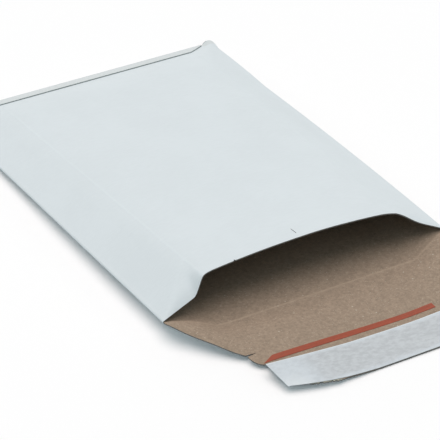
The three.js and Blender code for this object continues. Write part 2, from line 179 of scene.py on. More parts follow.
def soft_min(a, b, softness):
    """The lower of two heights, rounded where they cross."""
    overlap = np.maximum(softness - np.abs(a - b), 0.0)
    return np.minimum(a, b) - overlap**2 / (4 * np.maximum(softness, TINY))


class Pocket:
    """Outer face of the pocket. x runs across, v from the mouth corners to the far fold."""

    LEFT_INSETS = (27.5 * MM, 25 * MM)
    RIGHT_INSETS = (30.5 * MM, 21 * MM)
    LEFT_DRAW_IN = -0.4 * MM
    RIGHT_DRAW_IN = (0.6 * MM, 1.2 * MM)
    NUB = (2 * MM, 8 * MM)
    PINCH = (0.63, 0.25)
    PINCH_STEP = (6.2 * MM, 16 * MM)
    PINCH_REACH = 22 * MM
    PINCH_OVERLAP = 0.6 * MM
    NOTCH = (-37.15 * MM, -36.65 * MM)
    SCORE_WIDTH = 0.55 * MM
    # painted highlight along the creases: how much lighter the left and right creases are painted
    CREASE_HIGHLIGHT = (0.2, 0.08)
    CREASE_HIGHLIGHT_WIDTH = 0.5 * MM
    CREASE_HIGHLIGHT_FADE = 10 * MM
    RIPPLE_SIZE = 34 * MM
    RIPPLE_NOISE = (0.9, 2.1, 3)
    RIPPLE_FADES = (8 * MM, 12 * MM)

    def __init__(self, shape):
        self.shape = shape
        self.side = shape.width / 2
        self.pressed = 2 * shape.board + shape.pressed_gap
        self.slope_start = shape.length - shape.end_run
        self.end_climb = (shape.end_height - self.pressed) / shape.end_run
        self.back_crease = self.side - shape.back_crease_inset
        self.end_flap_half = self.side - shape.end_flap_inset

    def side_lift(self, v):
        return self.shape.side_lift * (1 - (v / self.shape.length) ** 2)

    def crease_height(self, v):
        return lerp(self.shape.mouth_height, self.shape.end_height, v / self.slope_start)

    def fold_radius(self, v):
        """The folds are pressed flat and spring open only at the far corners."""
        run = self.shape.end_flap_width
        sprung = np.clip((v - self.shape.length + run) / run, 0.0, 1.0) ** 2
        return self.shape.board + lerp(self.shape.fold_gap, self.shape.sprung_gap, sprung) / 2

    def foot(self, v):
        return self.side_lift(v) + 2 * self.fold_radius(v)

    def crease(self, left, v):
        along = np.minimum(v / self.slope_start, 1.0)
        inset = np.where(left, lerp(*self.LEFT_INSETS, along), lerp(*self.RIGHT_INSETS, along))
        return self.side - inset

    def straight_fold(self, left, v):
        """The panel keeps its width, so the side fold draws in as the crease rises."""
        crease = self.crease(left, v)
        part = np.clip((self.shape.length - v) / self.shape.narrowing_run, 0.0, 1.0)
        rise = part * (self.crease_height(v) - self.foot(v))
        across = np.sqrt((self.side - self.fold_radius(v) - crease) ** 2 - rise**2)
        past_nub = smooth(self.shape.length - v, *self.NUB)
        right_draw_in = lerp(*self.RIGHT_DRAW_IN, part) * past_nub
        return crease + across - np.where(left, part**2 * self.LEFT_DRAW_IN, right_draw_in)

    def fold(self, left, v):
        """The side fold with its rounded far corner."""
        radius = self.shape.far_corner
        past = np.clip(v - self.shape.length + radius, 0.0, radius)
        return self.straight_fold(left, v) - radius + np.sqrt(radius**2 - past**2)

    def root(self, left, v):
        end = self.straight_fold(left, self.shape.length)
        return self.end_flap_half * self.straight_fold(left, v) / end

    def back_height(self, x, v):
        """Underside of the back panel: flat in the middle, rising to the side folds."""
        fold = self.fold(x < 0, v)
        rise = np.clip((np.abs(x) - self.back_crease) / (fold - self.back_crease), 0.0, 1.0)
        bead = ridge(np.abs(x) - self.back_crease, self.SCORE_WIDTH)
        return self.side_lift(v) * rise + self.shape.score * bead

    def pinch_line(self, x, v):
        """How far back a pinched mouth corner reaches, which is furthest at the crease."""
        left = x < 0
        fold = self.fold(left, v)
        return self.PINCH_REACH * (fold - np.abs(x)) / (fold - self.crease(left, v))

    def pinch(self, x, v):
        """How far a pinched mouth corner is pressed in."""
        left = x < 0
        diagonal = self.pinch_line(x, v)
        start = self.crease(left, v) - self.PINCH_OVERLAP
        step = np.where(left, *self.PINCH_STEP)
        depth = np.where(left, *self.PINCH)
        pressed = np.maximum(diagonal - v, 0.0) ** 2 / np.maximum(diagonal, TINY)
        return depth * smooth(np.abs(x), start, start + step) * pressed

    def unevenness(self, x, v):
        """Soft dents in the front panel, none at its folds and under the end flap."""
        size = self.RIPPLE_SIZE
        side_fade, end_fade = self.RIPPLE_FADES
        places = [Vector((a / size, b / size, 0.0)) for a, b in np.broadcast(x, v)]
        dents = np.array([noise.fractal(p, *self.RIPPLE_NOISE) for p in places]).reshape(np.shape(x))
        inner = self.fold(x < 0, v) - np.abs(x)
        end = self.shape.length - self.shape.end_flap_width - v
        return self.shape.ripple * dents * smooth(inner, 0, side_fade) * smooth(end, 0, end_fade)

    def front_height(self, x, v):
        """Outer face of the front panel: an arched roof, two side slopes and the end slope."""
        shape = self.shape
        left = x < 0
        fold = self.fold(left, v)
        crease = self.crease(left, v)
        foot = self.foot(v)
        crown = lerp(shape.mouth_crown, shape.end_crown, v / self.slope_start)
        roof = self.crease_height(v) + crown * (1 - (x / crease) ** 2)
        climb = (self.crease_height(v) - foot) / (fold - crease)
        slope = foot + climb * (fold - np.abs(x)) - self.pinch(x, v)
        ear = smooth(np.abs(x), self.root(left, v), fold)
        spring = 2 * self.fold_radius(v) - self.pressed
        end = self.pressed + self.end_climb * (shape.length - v) + ear * spring
        fade = np.clip((shape.length - v) / shape.end_run, 0.0, 1.0)
        softness = np.where(left, shape.left_softness, shape.right_softness) * fade
        bead = ridge(np.abs(x) - crease, self.SCORE_WIDTH) * smooth(fade, 0.5, 1)
        height = soft_min(soft_min(roof, slope, softness), end, shape.right_softness * fade)
        return height + shape.score * bead + self.unevenness(x, v)

    def mouth_edge(self, x):
        inner = self.fold(x < 0, 0.0) - np.abs(x)
        notch = (x >= self.NOTCH[0]) & (x <= self.NOTCH[1])
        setback = self.shape.setback * np.clip(inner / self.shape.setback_run, 0.0, 1.0)
        return setback + self.shape.notch * notch

    def crease_mark(self, x, v):
        """How strongly the long creases and the pinched corner get a painted highlight."""
        left = x < 0
        crease = self.crease(left, v)
        highlight = np.where(left, *self.CREASE_HIGHLIGHT) * smooth(self.slope_start - v, 0, self.CREASE_HIGHLIGHT_FADE)
        long = highlight * ridge(np.abs(x) - crease, self.CREASE_HIGHLIGHT_WIDTH)
        pinched = left & (np.abs(x) > crease)
        return long + pinched * self.CREASE_HIGHLIGHT[0] * ridge(self.pinch_line(x, v) - v, self.CREASE_HIGHLIGHT_WIDTH)


class Flap:
    """Underside of the closing flap. r is the reach from the mouth corners."""

    TAB_END = 45 * MM
    LEFT_LIFTS = (3.3 * MM, 2.4 * MM, 2 * MM, 1.75 * MM, 2.5 * MM)
    RIGHT_LIFTS = (2.6 * MM, 1.6 * MM, 1 * MM, 0.8 * MM, 0.4 * MM)
    LEFT_CURL = (-24 * MM, 50 * MM)
    LEFT_FREE_CURL = (6 * MM, 42 * MM)
    RIGHT_CURL = (22 * MM, 54 * MM)
    TAPER_CURVE = 1.6
    FLARE = 2.2 * MM
    FLARE_REACH = 5 * MM
    BEND_START = 45 * MM
    BEND_REACH = 12 * MM
    BEND_FADE = (24 * MM, 40 * MM)
    CUT_START = -22 * MM
    SETTLE_RUN = 16 * MM
    SCORE_SHARE = 1.3
    CORNER = 1.6 * MM
    SLIT_CUT = 0.25 * MM
    FRAYED = (-42 * MM, -22 * MM)
    FRAYED_RAMPS = (0.4 * MM, 8 * MM)
    FRAY_SIZE = 1.6 * MM
    FRAY_ROW = 3.0
    FRAY_NOISE = (1.0, 2.0, 3)
    FRAY_MEAN = 0.55
    FRAY_SPREAD = 0.9
    FRAY_MOST = 1.2
    FRAY_MARK = 2.0
    EDGE_TOLERANCE = 0.1 * MM
    TAPER_POINTS = 34
    TAB_POINTS = 16
    TAB_START = 0.02
    SIDE_POINTS = 14
    CORNER_POINTS = 7
    FREE_EDGE_POINTS = 190

    def __init__(self, shape, pocket):
        self.shape = shape
        self.pocket = pocket
        self.slit_half = pocket.side - shape.slit_inset
        self.end_half = pocket.side - shape.end_inset
        self.lift_reaches = (0.0, shape.slit_reach, self.TAB_END, shape.liner_reach, shape.reach)

    def score(self, x):
        """Reach of the score line, which runs in from the mouth corners."""
        corner = self.pocket.fold(x < 0, 0.0)
        run = corner - self.pocket.back_crease
        return self.shape.score_reach * np.clip((corner - np.abs(x)) / run, 0.0, 1.0)

    def edge(self, left, r):
        """Half width of the flap, as if it had no slits."""
        corner = self.pocket.fold(left, 0.0)
        part = np.clip(r / self.shape.slit_reach, 0.0, 1.0)
        flare = self.FLARE * swell(r, self.FLARE_REACH) * (1 - part)
        taper = lerp(corner, self.slit_half, part**self.TAPER_CURVE) + flare
        down = np.clip((r - self.shape.slit_reach) / self.shape.tab, 0.0, 1.0)
        tab = lerp(self.end_half, self.slit_half, np.sqrt(1 - down**2))
        return np.where(r < self.shape.slit_reach, taper, tab)

    def outwards(self, r):
        """0 at the liner's near edge and 1 at the free edge."""
        start = self.shape.liner_reach
        return np.clip((r - start) / (self.shape.reach - start), 0.0, 1.0)

    def edge_lift(self, x, r):
        """How far the left edge is bent up between the mouth corner and the slit."""
        along = swell(r, self.BEND_REACH) * (1 - smooth(r, *self.BEND_FADE))
        return self.shape.edge_bend * along * smooth(-x, self.BEND_START, self.edge(True, r))

    def height(self, x, r):
        outwards = self.outwards(r)
        start, top = (lerp(*ends, outwards) for ends in zip(self.LEFT_CURL, self.LEFT_FREE_CURL))
        left = np.interp(r, self.lift_reaches, self.LEFT_LIFTS) * smooth(-x, start, top)
        right = np.interp(r, self.lift_reaches, self.RIGHT_LIFTS) * smooth(x, *self.RIGHT_CURL)
        score = self.score(x)
        settle = smooth(r, score, score + self.SETTLE_RUN)
        bead = ridge(r - score, self.pocket.SCORE_WIDTH)
        level = lerp(self.pocket.back_height(x, 0.0), left + right, settle) + self.edge_lift(x, r)
        return level + self.SCORE_SHARE * self.pocket.shape.score * bead

    def cut_back(self, x, r):
        """How far a place lies back because the left corner of the free edge is cut in a curve."""
        along = np.clip((self.CUT_START - x) / (self.end_half + self.CUT_START), 0.0, 1.0)
        return self.shape.corner_cut * along**2 * self.outwards(r)

    def torn(self, x):
        """1 along the torn stretch of the free edge."""
        low, high = self.FRAYED
        rise, fall = self.FRAYED_RAMPS
        return smooth(x, low, low + rise) * (1 - smooth(x, high - fall, high))

    def fray(self, x):
        """How far the free edge stands out where it was torn."""
        places = [Vector((a / self.FRAY_SIZE, self.FRAY_ROW, 0.0)) for a in x]
        rough = np.array([noise.fractal(place, *self.FRAY_NOISE) for place in places])
        depth = np.clip(self.FRAY_MEAN + self.FRAY_SPREAD * rough, 0.0, self.FRAY_MOST)
        return self.shape.fray * self.torn(x) * depth

    def torn_mark(self, x, r):
        """How strongly light fibres show at the torn stretch of the free edge."""
        return self.FRAY_MARK * self.torn(x) * (r > self.shape.reach - self.EDGE_TOLERANCE)

    def outline(self):
        """Right edge, free edge and left edge as points of x and reach."""
        shape = self.shape
        last = shape.reach - self.CORNER
        tip = self.slit_half - shape.slit_length
        top = np.linspace(0.0, 1.0, self.TAPER_POINTS)[1:]
        round_tab = np.linspace(self.TAB_START, 1.0, self.TAB_POINTS) * math.pi / 2
        tab = shape.slit_reach + shape.tab * np.sin(round_tab)
        below = np.linspace(shape.slit_reach + shape.tab, last, self.SIDE_POINTS)[1:]
        turn = np.linspace(0.0, 1.0, self.CORNER_POINTS)[1:-1] * math.pi / 2
        inner = self.end_half - self.CORNER

        def side(left, slit):
            above = top * (shape.slit_reach - slit)
            rows = [(float(self.edge(left, r)), r) for r in above]
            rows += [(tip, shape.slit_reach)]
            rows += [(float(self.edge(left, r)), r + self.SLIT_CUT) for r in tab]
            rows += [(self.end_half, r) for r in below]
            rows += [(inner + self.CORNER * math.cos(t), last + self.CORNER * math.sin(t)) for t in turn]
            return rows

        right = side(False, shape.right_slit)
        left = [(-x, r) for x, r in side(True, shape.left_slit)]
        across = np.linspace(inner, -inner, self.FREE_EDGE_POINTS)
        free = list(zip(across, shape.reach + self.fray(across)))
        return right + free + left[::-1]


def mouth_line():
    """Place along Y of the mouth corners, from the CAD solid and the flap's reach."""
    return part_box("folded_board")[0][1] + bpy.context.scene.envelope_flap.reach


def quads(grid):
    """Faces between the rows of a grid of vertex numbers."""
    faces = []
    for near, far in zip(grid, grid[1:]):
        faces += [list(q) for q in zip(near, far, far[1:], near[1:])]
    return faces


class Sheet:
    """The folded board's outer face as one open mesh, put together piece by piece."""

    NICK_OFFSETS = (-2.15 * MM, -1.85 * MM)
    NICK_REACH = (8.4 * MM, 13.2 * MM)
    NICK_FLOOR = 10 * MM
    NOTCH_SIDES = np.array([-0.15, 0.15]) * MM
    NOSE_STEPS = 10
    HEM_STEPS = 10
    END_FLAP_ROWS = 16
    TAPER_CURVE = 1.15
    EAR_BULGE = 1 * MM
    EAR_RUN = 3 * MM
    NEAR_CREASE = np.array([2.2, 1.5, 1.0, 0.65, 0.32, 0, -0.32, -0.65, -1.0, -1.5, -2.2]) * MM
    CREASE_ZONE = 3 * MM
    BAND_POINTS = 20
    ROOF_POINTS = 28
    EAR_POINTS = 4
    RISE_POINTS = 10
    FLAT_POINTS = 22
    MOUTH_ZONE = 24 * MM
    END_ZONE = 8 * MM
    CORNER_ZONE = 1.5
    STATION_COUNTS = (20, 56, 32, 10)
    NET_HALF = 78 * MM
    NET_SPACING = 1.7 * MM
    NET_MARGIN = 0.7 * MM
    LINE_HALF = 74.5 * MM
    LINE_SPACING = 1.2 * MM
    LINE_ROWS = np.array([-0.8, -0.4, 0, 0.4, 0.8]) * MM
    SCORE_CLEARANCE = 1.4 * MM
    SLIT_CLEARANCE = 1.2 * MM
    WIDE_SLIT_CLEARANCE = 5 * MM
    MERGE_DISTANCE = 1e-7

    def __init__(self, pocket, flap):
        self.pocket = pocket
        self.flap = flap
        self.points = []
        self.faces = []
        self.creases = []
        self.end_flap_faces = 0

    def add(self, points, creases=0.0):
        first = len(self.points)
        self.points += [tuple(map(float, p)) for p in points]
        self.creases += np.broadcast_to(creases, len(points)).astype(float).tolist()
        return list(range(first, len(self.points)))

    def front_places(self, left, v):
        """Places across the front panel from a side fold to the middle."""
        fold = self.pocket.fold(left, v)
        crease = self.pocket.crease(left, v)
        band = lerp(fold, crease + self.CREASE_ZONE, np.linspace(0, 1, self.BAND_POINTS))
        roof = lerp(crease - self.CREASE_ZONE, 0.0, np.linspace(0, 1, self.ROOF_POINTS))[:-1]
        if left:
            notch = np.array(self.pocket.NOTCH)
            extra = np.abs(np.concatenate([self.NICK_OFFSETS, notch, notch + self.NOTCH_SIDES]))
            roof = np.sort(np.append(roof[:-1], extra))[::-1]
        return np.concatenate([band, crease + self.NEAR_CREASE, roof])

    def back_places(self, left, v):
        """Places across the back panel from a side fold to the middle."""
        root = self.pocket.root(left, v)
        crease = self.pocket.back_crease
        outer = lerp(self.pocket.fold(left, v), root, np.linspace(0, 1, self.EAR_POINTS + 1))[:-1]
        band = lerp(root, crease + self.CREASE_ZONE, np.linspace(0, 1, self.RISE_POINTS))
        flat = lerp(crease - self.CREASE_ZONE, 0.0, np.linspace(0, 1, self.FLAT_POINTS))[:-1]
        return np.concatenate([outer, band, crease + self.NEAR_CREASE, flat])

    def ear_bulge(self, x, v):
        """How far the ears beside the end flap stand out past the far fold."""
        root = self.pocket.root(x < 0, v)
        near_end = smooth(v, self.pocket.shape.length - self.EAR_RUN, self.pocket.shape.length)
        return self.EAR_BULGE * near_end * smooth(np.abs(x), root, root + self.EAR_RUN / 2)

    def nose(self, left, v):
        """Half a turn round a side fold, from below upwards, without its ends."""
        turn = (np.arange(1, self.NOSE_STEPS) / self.NOSE_STEPS - 0.5) * math.pi
        radius = self.pocket.fold_radius(v)
        x = self.pocket.fold(left, v) + radius * np.cos(turn)
        z = self.pocket.side_lift(v) + radius * (1 + np.sin(turn))
        return np.column_stack([-x if left else x, np.full_like(x, v), z])

    def ring(self, v):
        """One round of the pocket: back panel, right fold, front panel, left fold."""
        pocket = self.pocket
        left, right = self.back_places(True, v), self.back_places(False, v)
        x = np.concatenate([-left, [0.0], right[::-1]])
        back = np.column_stack([x, np.full_like(x, v), pocket.back_height(x, v)])
        left, right = self.front_places(True, v), self.front_places(False, v)
        x = np.concatenate([right, [0.0], -left[::-1]])
        along = lerp(pocket.mouth_edge(x), pocket.shape.length, v / pocket.shape.length)
        z = pocket.front_height(x, along)
        along[[0, -1]] = v
        z[[0, -1]] = pocket.foot(v)
        front = np.column_stack([x, along, z])
        right_nose, left_nose = self.nose(False, v), self.nose(True, v)[::-1]
        plain = np.zeros(len(back) + len(right_nose))
        creases = np.concatenate([plain, pocket.crease_mark(x, along), np.zeros(len(left_nose))])
        self.back_count = len(back)
        points = np.concatenate([back, right_nose, front, left_nose])
        points[:, 1] += self.ear_bulge(points[:, 0], v)
        return points, creases

    def stations(self):
        """Places along the pocket, close together at the mouth, the locating slit and the end."""
        shape = self.pocket.shape
        reach = np.array(self.NICK_REACH)
        nick = (reach - shape.setback) / (1 - shape.setback / shape.length)
        mouth_count, middle_count, end_count, corner_count = self.STATION_COUNTS
        end_start = self.pocket.slope_start - self.END_ZONE
        corner = shape.length - self.CORNER_ZONE * shape.far_corner
        mouth = np.linspace(0.0, self.MOUTH_ZONE, mouth_count)
        middle = np.linspace(self.MOUTH_ZONE, end_start, middle_count)[1:]
        end = np.linspace(end_start, corner, end_count)[1:]
        turn = np.linspace(0, 0.5, corner_count) * math.pi
        rounded = shape.length - shape.far_corner * (1 - np.sin(turn))
        return np.sort(np.concatenate([mouth, nick, middle, end, rounded])), nick

    def build_pocket(self):
        stations, nick = self.stations()
        rings = [self.add(*self.ring(v)) for v in stations]
        closed = [ring + ring[:1] for ring in rings]
        slit_rows = [int(np.argmin(np.abs(stations - v))) for v in nick]
        faces = []
        for row, (near, far) in enumerate(zip(closed, closed[1:])):
            for quad in zip(near, far, far[1:], near[1:]):
                centre = np.mean([self.points[i] for i in quad], axis=0)
                in_slit = self.NICK_OFFSETS[0] < centre[0] < self.NICK_OFFSETS[1]
                if not (slit_rows[0] <= row < slit_rows[1] and in_slit and centre[2] > self.NICK_FLOOR):
                    faces.append(list(quad))
        self.faces += faces
        return rings

    def ear_faces(self):
        """Numbers of the faces at the tips of the two ears beside the end flap."""
        middles = np.array([np.mean([self.points[i] for i in face], axis=0) for face in self.faces])
        at_end = middles[:, 1] > self.pocket.shape.length - self.EAR_RUN
        return np.flatnonzero(at_end & (np.abs(middles[:, 0]) > self.pocket.end_flap_half))

    def build_end_flap(self, last_ring):
        """Up round the far fold and back over the front panel."""
        pocket = self.pocket
        shape = pocket.shape
        root = last_ring[self.EAR_POINTS : self.back_count - self.EAR_POINTS]
        start = np.array([self.points[i] for i in root])
        radius = (pocket.pressed + shape.glue + shape.board) / 2
        rows = [root]
        for turn in np.arange(1, self.HEM_STEPS) / self.HEM_STEPS * math.pi:
            row = start.copy()
            row[:, 1] = shape.length + radius * math.sin(turn)
            row[:, 2] = radius * (1 - math.cos(turn))
            rows.append(self.add(row))
        for part in np.linspace(0, 1, self.END_FLAP_ROWS):
            row = start.copy()
            row[:, 0] *= 1 - shape.end_flap_taper * part**self.TAPER_CURVE / pocket.end_flap_half
            row[:, 1] = shape.length - part * shape.end_flap_width
            climb = pocket.end_climb * part * shape.end_flap_width
            row[:, 2] = pocket.pressed + shape.glue + shape.board + climb
            rows.append(self.add(row))
        faces = quads(rows)
        self.faces = faces + self.faces
        self.end_flap_faces = len(faces)

    def flap_net(self):
        """Places inside the flap's outline: a grid, with closer rows along the score line."""
        flap = self.flap
        shape = flap.shape
        across = np.arange(-self.NET_HALF, self.NET_HALF, self.NET_SPACING)
        outwards = np.arange(self.NET_SPACING, shape.reach, self.NET_SPACING)
        grid_x, grid_r = np.meshgrid(across, outwards)
        off_line = np.abs(grid_r - flap.score(grid_x)) > self.SCORE_CLEARANCE
        line = np.arange(-self.LINE_HALF, self.LINE_HALF, self.LINE_SPACING)
        line_x = np.repeat(line, len(self.LINE_ROWS))
        line_r = flap.score(line_x) + np.tile(self.LINE_ROWS, len(line))
        x = np.concatenate([grid_x[off_line], line_x])
        r = np.concatenate([grid_r[off_line], line_r])
        clear = np.abs(x) < flap.edge(x < 0, r) - self.NET_MARGIN
        clear &= (r > self.NET_MARGIN) & (r < shape.reach - self.NET_MARGIN)
        above = shape.slit_reach - r
        at_slit = np.abs(above) < self.SLIT_CLEARANCE
        at_slit |= (x > 0) & (above > 0) & (above < self.WIDE_SLIT_CLEARANCE)
        slit_tip = flap.slit_half - shape.slit_length
        clear &= ~(at_slit & (np.abs(x) > slit_tip - self.NET_MARGIN))
        return [Vector(place) for place in zip(x[clear], r[clear])]

    def build_closing_flap(self, first_ring):
        """A net of triangles inside the flap's outline, hung on the mouth of the back panel."""
        mouth = first_ring[: self.back_count]
        outline = [(self.points[i][0], 0.0) for i in mouth] + self.flap.outline()
        count = len(outline)
        loop = [(i, (i + 1) % count) for i in range(count)]
        flat = [Vector(place) for place in outline] + self.flap_net()
        places, _, triangles, sources, _, _ = delaunay_2d_cdt(flat, loop, [], 1, self.MERGE_DISTANCE)
        xs = np.array([p[0] for p in places])
        rs = np.array([p[1] for p in places])
        heights = self.flap.height(xs, rs)
        ys = self.flap.cut_back(xs, rs) - rs
        # painted highlight along the score line, plus the torn fibres at the free edge
        marks = ridge(rs - self.flap.score(xs), self.pocket.CREASE_HIGHLIGHT_WIDTH)
        marks += self.flap.torn_mark(xs, rs)
        numbers = []
        for k, source in enumerate(sources):
            if source and source[0] < len(mouth):
                numbers.append(mouth[source[0]])
            else:
                numbers += self.add([(xs[k], ys[k], heights[k])], marks[k])
        for a, b, c in triangles:
            outwards = (xs[b] - xs[a]) * (rs[c] - rs[a]) > (xs[c] - xs[a]) * (rs[b] - rs[a])
            self.faces.append([numbers[i] for i in ((a, b, c) if outwards else (a, c, b))])


class Graph:
    """A material or geometry tree that is put together node by node."""

    def __init__(self, tree):
        self.tree = tree

    def add(self, kind, settings=None, **inputs):
        """Makes a node, sets its own options, and sets or links its inputs by name or number."""
        node = self.tree.nodes.new(kind)
        for key, value in (settings or {}).items():
            setattr(node, key, value)
        for key, value in inputs.items():
            self.feed(node, key.replace("_", " "), value)
        return node

    def feed(self, node, key, value):
        socket = node.inputs[int(key[1:])] if key[1:].isdigit() else node.inputs[key]
        if isinstance(value, bpy.types.NodeSocket):
            self.tree.links.new(value, socket)
        else:
            socket.default_value = value

    def math(self, operation, a, b=0.0):
        return self.add("ShaderNodeMath", {"operation": operation}, i0=a, i1=b).outputs[0]

    def mix(self, factor, a, b):
        """Mixes two colours."""
        settings = {"data_type": "RGBA", "clamp_factor": True}
        node = self.add("ShaderNodeMix", settings, i0=factor, i6=a, i7=b)
        return node.outputs[2]

    def band(self, value, low, high, out_low=0.0, out_high=1.0):
        """Maps a number from one range to another, clamped and smooth."""
        settings = {"interpolation_type": "SMOOTHSTEP"}
        node = self.add("ShaderNodeMapRange", settings, i0=value, i1=low, i2=high, i3=out_low, i4=out_high)
        return node.outputs[0]

    def seen(self):
        """1 for what the camera sees, also in or through a surface, and 0 for scattered light."""
        path = self.add("ShaderNodeLightPath").outputs
        direct = self.math("MAXIMUM", path["Is Camera Ray"], path["Is Glossy Ray"])
        return self.math("MAXIMUM", direct, path["Is Transmission Ray"])


class Paint(Graph):
    """A material with one Principled shader on Object coordinates."""

    FLECK_CORE = 0.4

    def __init__(self, name):
        self.material = bpy.data.materials.new(name)
        self.material.use_nodes = True
        super().__init__(self.material.node_tree)
        self.shader = self.tree.nodes["Principled BSDF"]
        self.place = self.add("ShaderNodeTexCoord").outputs["Object"]

    def stretched(self, scale, turn=0.0):
        node = self.add("ShaderNodeMapping", None, Vector=self.place, Scale=scale, Rotation=(0, 0, turn))
        return node.outputs[0]

    def noise(self, scale, detail=2.0, roughness=0.5, place=None):
        node = self.add(
            "ShaderNodeTexNoise",
            None,
            Vector=place or self.place,
            Scale=scale,
            Detail=detail,
            Roughness=roughness,
        )
        return node.outputs[0]

    def mark(self, name):
        """A number that the mesh carries at its points."""
        return self.add("ShaderNodeAttribute", {"attribute_name": name}).outputs["Fac"]

    def fleck(self, scale, amount, radius, place=None):
        """1 in a few of the cells of a net of random points, close to the point, and 0 elsewhere."""
        node = self.add("ShaderNodeTexVoronoi", None, Vector=place or self.place, Scale=scale)
        pick = self.add("ShaderNodeSeparateColor", None, i0=node.outputs["Color"]).outputs[0]
        chosen = self.math("LESS_THAN", pick, amount)
        near = self.band(node.outputs["Distance"], radius, radius * self.FLECK_CORE)
        return self.math("MULTIPLY", chosen, near)

    def bump(self, height, strength, distance):
        node = self.add("ShaderNodeBump", None, Height=height, Strength=strength, Distance=distance)
        self.feed(self.shader, "Normal", node.outputs[0])

    def set(self, **inputs):
        for key, value in inputs.items():
            self.feed(self.shader, key.replace("_", " "), value)
        return self.material


def tone(value, factor):
    """A colour made lighter or darker, with its alpha."""
    return (*(min(c * factor, 1.0) for c in value), 1.0)


def coated_paint(name, coat):
    """Pale coated paper with a faint cloudiness and a fine grain, and a painted highlight along the creases.
    """
    paint = Paint(name)
    cloud = paint.noise(40.0, 3.0, 0.55)
    weave = paint.noise(1.0, 2.0, 0.5, paint.stretched((260, 1100, 600), 0.35))
    grain = paint.noise(1500.0, 2.0, 0.6)
    shade = paint.math("ADD", paint.math("MULTIPLY", cloud, 0.55), paint.math("MULTIPLY", weave, 0.45))
    base = paint.mix(paint.band(shade, 0.35, 0.65), tone(coat, 0.982), tone(coat, 1.012))
    # painted highlight along the creases
    base = paint.mix(paint.mark("crease"), base, tone(coat, 1.12))
    paint.bump(paint.math("ADD", grain, weave), 0.12, 0.08 * MM)
    rough = paint.band(grain, 0.3, 0.7, 0.58, 0.7)
    return paint.set(Base_Color=base, Roughness=rough, Specular_IOR_Level=0.35)


def raw_paint(finish):
    """Grey-brown recycled board with light and dark fibres."""
    paint = Paint("raw board")
    cloud = paint.noise(160.0, 4.0, 0.6)
    grain = paint.noise(900.0, 3.0, 0.7)
    base = paint.mix(paint.band(cloud, 0.3, 0.7), tone(finish.raw, 0.92), tone(finish.raw, 1.07))
    patch = paint.noise(520.0, 2.0, 0.6)
    base = paint.mix(paint.band(patch, 0.32, 0.68, 0.0, 0.8), base, tone(finish.raw, 1.23))
    base = paint.mix(paint.band(grain, 0.35, 0.75, 0.0, 0.6), base, tone(finish.raw, 0.67))
    slant = paint.stretched((800, 1900, 1900), 0.5)
    cross = paint.stretched((1900, 700, 1900), -0.3)
    light = paint.fleck(1.0, finish.speck, 0.34, slant)
    dark = paint.fleck(1.0, finish.speck, 0.3, cross)
    rare = paint.fleck(420.0, 0.06, 0.22)
    base = paint.mix(paint.math("MULTIPLY", dark, 0.55), base, (*finish.dark_fibre, 1.0))
    base = paint.mix(paint.math("MULTIPLY", light, 0.6), base, (*finish.light_fibre, 1.0))
    base = paint.mix(paint.math("MULTIPLY", rare, 0.7), base, (*finish.light_fibre, 1.0))
    mark = paint.mark("crease")
    # painted highlight along the flap's score line; the torn fibres follow
    base = paint.mix(paint.math("MULTIPLY", mark, 0.6), base, tone(finish.raw, 1.4))
    base = paint.mix(paint.band(mark, 1.1, 1.7), base, (*finish.torn, 1.0))
    paint.bump(grain, 0.25, 0.12 * MM)
    return paint.set(Base_Color=base, Roughness=0.85, Specular_IOR_Level=0.25)


def cut_paint(name, core):
    """The cut edge of the board, in thin layers."""
    paint = Paint(name)
    grain = paint.noise(1400.0, 3.0, 0.7)
    base = paint.mix(paint.band(grain, 0.3, 0.7), tone(core, 0.75), tone(core, 1.2))
    paint.bump(grain, 0.3, 0.1 * MM)
    return paint.set(Base_Color=base, Roughness=0.9, Specular_IOR_Level=0.2)


def tape_paint(finish):
    """Red tape with faint streaks along its length."""
    paint = Paint("tear tape")
    streak = paint.noise(1.0, 2.0, 0.5, paint.stretched((60, 2400, 400)))
    blotch = paint.noise(420.0, 2.0, 0.5)
    base = paint.mix(paint.band(streak, 0.3, 0.7), tone(finish.tape, 0.9), tone(finish.tape, 1.12))
    base = paint.mix(paint.band(blotch, 0.45, 0.75, 0.0, 0.25), base, tone(finish.tape, 1.5))
    paint.bump(blotch, 0.15, 0.1 * MM)
    return paint.set(Base_Color=base, Roughness=0.5, Specular_IOR_Level=0.4)


STUCK_WANDER = 4 * MM
STUCK_FADE = 2 * MM
STUCK_END_FADES = (14 * MM, 3 * MM)
LOOSE_END = (4 * MM, -6 * MM)
LOOSE_WIDTH = 14 * MM
# band of the painted highlight along the liner's upper edge
LIT_EDGE = (0.9 * MM, 0.2 * MM)


